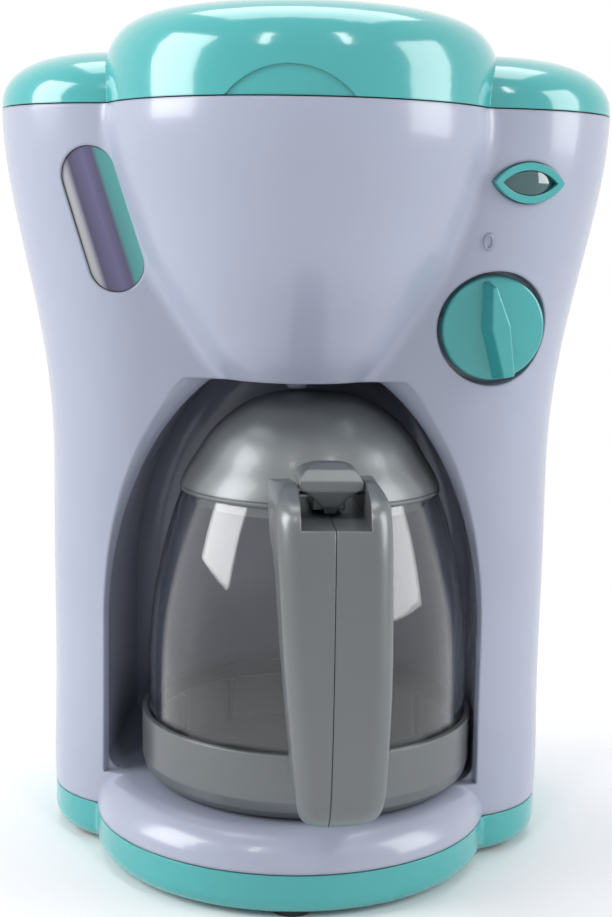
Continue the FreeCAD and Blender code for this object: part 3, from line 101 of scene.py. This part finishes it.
def moulded(name, colour, roughness, coat=0.0, spread=0.03, softness=0.0, metal=0.0):
    """Moulded plastic: faint cloudy tone, uneven gloss and a fine surface grain."""
    material, tree, shader = new_material(name)
    dark, light = tones(colour, spread)
    cloud = noise(tree, 22.0, 3.0)
    tree.links.new(shade(tree, cloud, dark, light), shader.inputs["Base Color"])
    gloss = noise(tree, 90.0, 4.0)
    tree.links.new(span(tree, gloss, roughness * 0.8, roughness * 1.25), shader.inputs["Roughness"])
    shader.inputs["Coat Weight"].default_value = coat
    shader.inputs["Coat Roughness"].default_value = 0.06
    shader.inputs["Metallic"].default_value = metal
    bump(tree, shader, noise(tree, 700.0, 2.0), 0.25, 0.00002, softness)
    return material


def clear(name, colour, roughness=0.03):
    """Clear moulded plastic with a trace of haze."""
    material, tree, shader = new_material(name)
    dark, light = tones(colour, 0.02)
    tree.links.new(shade(tree, noise(tree, 30.0, 2.0), dark, light), shader.inputs["Base Color"])
    haze = noise(tree, 140.0, 3.0)
    tree.links.new(span(tree, haze, roughness * 0.6, roughness * 1.6), shader.inputs["Roughness"])
    shader.inputs["Transmission Weight"].default_value = 1.0
    shader.inputs["IOR"].default_value = 1.46
    return material


def steel(name, colour, roughness):
    """Brushed steel with fine lines round the part."""
    material, tree, shader = new_material(name)
    dark, light = tones(colour, 0.08)
    tree.links.new(shade(tree, noise(tree, 400.0, 4.0), dark, light), shader.inputs["Base Color"])
    shader.inputs["Metallic"].default_value = 1.0
    lines = noise(tree, 900.0, 2.0)
    tree.links.new(span(tree, lines, roughness * 0.8, roughness * 1.3), shader.inputs["Roughness"])
    bump(tree, shader, lines, 0.2, 0.00002)
    return material


finishes = {
    "body_lavender": moulded("lavender_plastic", LAVENDER, 0.24, coat=0.25, softness=0.0012),
    "teal_plastic": moulded("teal_plastic", TEAL, 0.16, coat=0.5, spread=0.05, softness=0.0005),
    "silver_plastic": moulded(
        "silver_plastic", SILVER, 0.36, coat=0.2, metal=0.55, softness=0.0007
    ),
    "clear_plastic": clear("clear_plastic", (0.93, 0.94, 0.96)),
    "foot_rubber": moulded("foot_rubber", (0.016, 0.018, 0.020), 0.75),
    "screw_steel": steel("plated_steel", (0.56, 0.56, 0.55), 0.30),
    "motor_steel": steel("drawn_steel", (0.50, 0.50, 0.50), 0.38),
    "white_plastic": moulded("natural_plastic", WHITE, 0.45),
    "dark_plastic": moulded("dark_plastic", (0.020, 0.021, 0.024), 0.45),
    "clear_hose": clear("clear_hose", (0.80, 0.84, 0.82), 0.25),
    "lens_green": clear("green_lens", (0.02, 0.28, 0.27), 0.04),
    "led_green": clear("green_led", (0.25, 0.70, 0.38), 0.20),
    "board_green": moulded("circuit_board", (0.02, 0.13, 0.05), 0.40),
    "cell_wrap": moulded("cell_wrap", (0.05, 0.06, 0.09), 0.30),
    "contact_metal": steel("spring_steel", (0.62, 0.60, 0.55), 0.25),
}


def window_material():
    """Pane drawn opaque with painted bands: a painted highlight along its left edge, the lavender
    inside behind it as dark purple painted shade, and the teal frame behind its right edge as a
    teal band.
    """
    material, tree, shader = new_material("pane_painted_light")
    place = tree.nodes.new("ShaderNodeTexCoord")
    parts = tree.nodes.new("ShaderNodeSeparateXYZ")
    tree.links.new(place.outputs["Object"], parts.inputs["Vector"])
    slant = tree.nodes.new("ShaderNodeMath")
    slant.operation = "MULTIPLY_ADD"
    slant.inputs[1].default_value = WINDOW_LEAN
    tree.links.new(parts.outputs["Z"], slant.inputs[0])
    tree.links.new(parts.outputs["X"], slant.inputs[2])
    across = tree.nodes.new("ShaderNodeMapRange")
    across.inputs["From Min"].default_value = WINDOW_AXIS - WINDOW_HALF
    across.inputs["From Max"].default_value = WINDOW_AXIS + WINDOW_HALF
    tree.links.new(slant.outputs["Value"], across.inputs["Value"])
    ramp = tree.nodes.new("ShaderNodeValToRGB")
    # painted highlight on the left, painted shade of the lavender inside in the middle, teal of the
    # frame behind on the right
    painted_bands = [
        (0.0, (0.40, 0.42, 0.40)),
        (0.12, (0.30, 0.30, 0.34)),
        (0.22, (0.030, 0.026, 0.080)),
        (0.50, (0.085, 0.075, 0.180)),
        (0.68, (0.045, 0.040, 0.110)),
        (0.76, (0.030, 0.240, 0.240)),
        (1.0, (0.060, 0.330, 0.320)),
    ]
    ramp.color_ramp.elements[0].position = painted_bands[0][0]
    ramp.color_ramp.elements[0].color = (*painted_bands[0][1], 1.0)
    ramp.color_ramp.elements[1].position = painted_bands[-1][0]
    ramp.color_ramp.elements[1].color = (*painted_bands[-1][1], 1.0)
    for position, colour in painted_bands[1:-1]:
        ramp.color_ramp.elements.new(position).color = (*colour, 1.0)
    tree.links.new(across.outputs["Result"], ramp.inputs["Fac"])
    tree.links.new(ramp.outputs["Color"], shader.inputs["Base Color"])
    tree.links.new(span(tree, noise(tree, 140.0, 3.0), 0.06, 0.12), shader.inputs["Roughness"])
    shader.inputs["Coat Weight"].default_value = 1.0
    return material


def dress(node, material):
    """Gives a carried-over node its finish."""
    mesh = nodes[node].data
    mesh.materials.clear()
    mesh.materials.append(material)


for subpart in frame["record"]["subparts"]:
    dress(subpart["node"], finishes[subpart["material_slot"]])
# the window pane is opaque, with painted highlight and painted shade in place of a clear pane
dress("window_pane", window_material())
# the indicator lens is drawn opaque in that dark green, with painted shade in place of the dark
# inside behind it
dress("indicator_lens", moulded("lens_green_painted_shade", LENS_GREEN_PAINTED_SHADE, 0.08, coat=1.0, spread=0.2))
dress("drip_nozzle", finishes["body_lavender"])


# floor, with the distances at which its fade to white starts and ends
SHADOW_REACH = 0.10
WHITE_REACH = 0.34


def plane(name, half, level, material):
    mesh = bpy.data.meshes.new(name)
    corners = [
        (-half, -half, level), (half, -half, level), (half, half, level), (-half, half, level),
    ]
    mesh.from_pydata(corners, [], [(0, 1, 2, 3)])
    thing = bpy.data.objects.new(name, mesh)
    thing.data.materials.append(material)
    bpy.context.scene.collection.objects.link(thing)
    return thing


def direct_rays(tree):
    """1 for rays from the camera, in gloss and through glass, otherwise 0."""
    path = tree.nodes.new("ShaderNodeLightPath")
    either = tree.nodes.new("ShaderNodeMath")
    either.operation = "MAXIMUM"
    tree.links.new(path.outputs["Is Camera Ray"], either.inputs[0])
    tree.links.new(path.outputs["Is Transmission Ray"], either.inputs[1])
    any_of = tree.nodes.new("ShaderNodeMath")
    any_of.operation = "MAXIMUM"
    tree.links.new(either.outputs["Value"], any_of.inputs[0])
    tree.links.new(path.outputs["Is Glossy Ray"], any_of.inputs[1])
    return any_of.outputs["Value"]


def pale_floor():
    """Matt floor that keeps the shadow near the object and fades to white further out."""
    material, tree, shader = new_material("pale_floor")
    cloud = noise(tree, 3.0, 2.0)
    tree.links.new(
        shade(tree, cloud, (0.86, 0.86, 0.87), (0.90, 0.90, 0.90)), shader.inputs["Base Color"]
    )
    shader.inputs["Roughness"].default_value = 0.7
    place = tree.nodes.new("ShaderNodeTexCoord")
    reach = tree.nodes.new("ShaderNodeVectorMath")
    reach.operation = "LENGTH"
    tree.links.new(place.outputs["Object"], reach.inputs[0])
    fade = tree.nodes.new("ShaderNodeMapRange")
    fade.interpolation_type = "SMOOTHSTEP"
    fade.inputs["From Min"].default_value = SHADOW_REACH
    fade.inputs["From Max"].default_value = WHITE_REACH
    tree.links.new(reach.outputs["Value"], fade.inputs["Value"])
    share = tree.nodes.new("ShaderNodeMath")
    share.operation = "MULTIPLY"
    tree.links.new(fade.outputs["Result"], share.inputs[0])
    tree.links.new(direct_rays(tree), share.inputs[1])
    white = tree.nodes.new("ShaderNodeEmission")
    white.inputs["Color"].default_value = (1.0, 1.0, 1.0, 1.0)
    mix = tree.nodes.new("ShaderNodeMixShader")
    tree.links.new(share.outputs["Value"], mix.inputs["Fac"])
    tree.links.new(shader.outputs["BSDF"], mix.inputs[1])
    tree.links.new(white.outputs["Emission"], mix.inputs[2])
    tree.links.new(mix.outputs["Shader"], tree.nodes["Material Output"].inputs["Surface"])
    return material


floor = plane("floor", 4.0, 0.0, pale_floor())


# world
def white_world():
    """Soft light all round; seen directly, in gloss or through glass it is white."""
    world = bpy.data.worlds.new("studio")
    world.use_nodes = True
    bpy.context.scene.world = world
    tree = world.node_tree
    soft = tree.nodes["Background"]
    soft.inputs["Color"].default_value = (0.88, 0.92, 1.0, 1.0)
    soft.inputs["Strength"].default_value = 0.30
    plain = tree.nodes.new("ShaderNodeBackground")
    plain.inputs["Color"].default_value = (1.0, 1.0, 1.0, 1.0)
    mix = tree.nodes.new("ShaderNodeMixShader")
    tree.links.new(direct_rays(tree), mix.inputs["Fac"])
    tree.links.new(soft.outputs["Background"], mix.inputs[1])
    tree.links.new(plain.outputs["Background"], mix.inputs[2])
    tree.links.new(mix.outputs["Shader"], tree.nodes["World Output"].inputs["Surface"])


white_world()


# lamps
def lamp(name, place, target, width, height, watts):
    """A soft box that faces a point."""
    data = bpy.data.lights.new(name, "AREA")
    data.shape = "RECTANGLE"
    data.size = width
    data.size_y = height
    data.energy = watts
    thing = bpy.data.objects.new(name, data)
    bpy.context.scene.collection.objects.link(thing)
    thing.location = place
    toward = Vector(target) - Vector(place)
    thing.rotation_mode = "QUATERNION"
    thing.rotation_quaternion = toward.to_track_quat("-Z", "Y")
    return thing


middle = (0.0, 0.0, 0.11)
lamp("key_left", (-1.10, -0.32, 0.65), middle, 0.7, 0.9, 15.0)
lamp("fill_right", (1.10, -0.20, 0.50), middle, 0.6, 0.9, 9.0)
lamp("top", (0.0, 0.25, 1.1), middle, 0.9, 0.7, 7.0)
lamp("window_left", (-0.30, -0.80, 0.95), middle, 0.10, 0.34, 1.2)
lamp("window_right", (0.42, -0.70, 0.95), middle, 0.10, 0.34, 1.2)

# camera
CAMERA_PLACE = Vector((21.9, -402.5, 163.8)) * MM
CAMERA_TURN = math.radians(2.745)
CAMERA_PITCH = math.radians(8.59)
CAMERA_ROLL = math.radians(0.97)
FOCAL_PIXELS = 1581.4
PICTURE_HEIGHT = 917
SENSOR = 36.0


def make_camera():
    turn, pitch, roll = CAMERA_TURN, CAMERA_PITCH, CAMERA_ROLL
    forward = Vector((
        -math.sin(turn) * math.cos(pitch), math.cos(turn) * math.cos(pitch), -math.sin(pitch)
    ))
    right = Vector((math.cos(turn), math.sin(turn), 0.0))
    up = right.cross(forward)
    across = right * math.cos(roll) + up * math.sin(roll)
    above = up * math.cos(roll) - right * math.sin(roll)
    data = bpy.data.cameras.new("camera")
    data.sensor_width = SENSOR
    data.lens = FOCAL_PIXELS / PICTURE_HEIGHT * SENSOR
    data.clip_start = 0.01
    thing = bpy.data.objects.new("camera", data)
    bpy.context.scene.collection.objects.link(thing)
    basis = Matrix((across, above, -forward)).transposed().to_4x4()
    thing.matrix_world = Matrix.Translation(CAMERA_PLACE) @ basis
    bpy.context.scene.camera = thing


make_camera()

bpy.context.scene.view_settings.view_transform = "Standard"
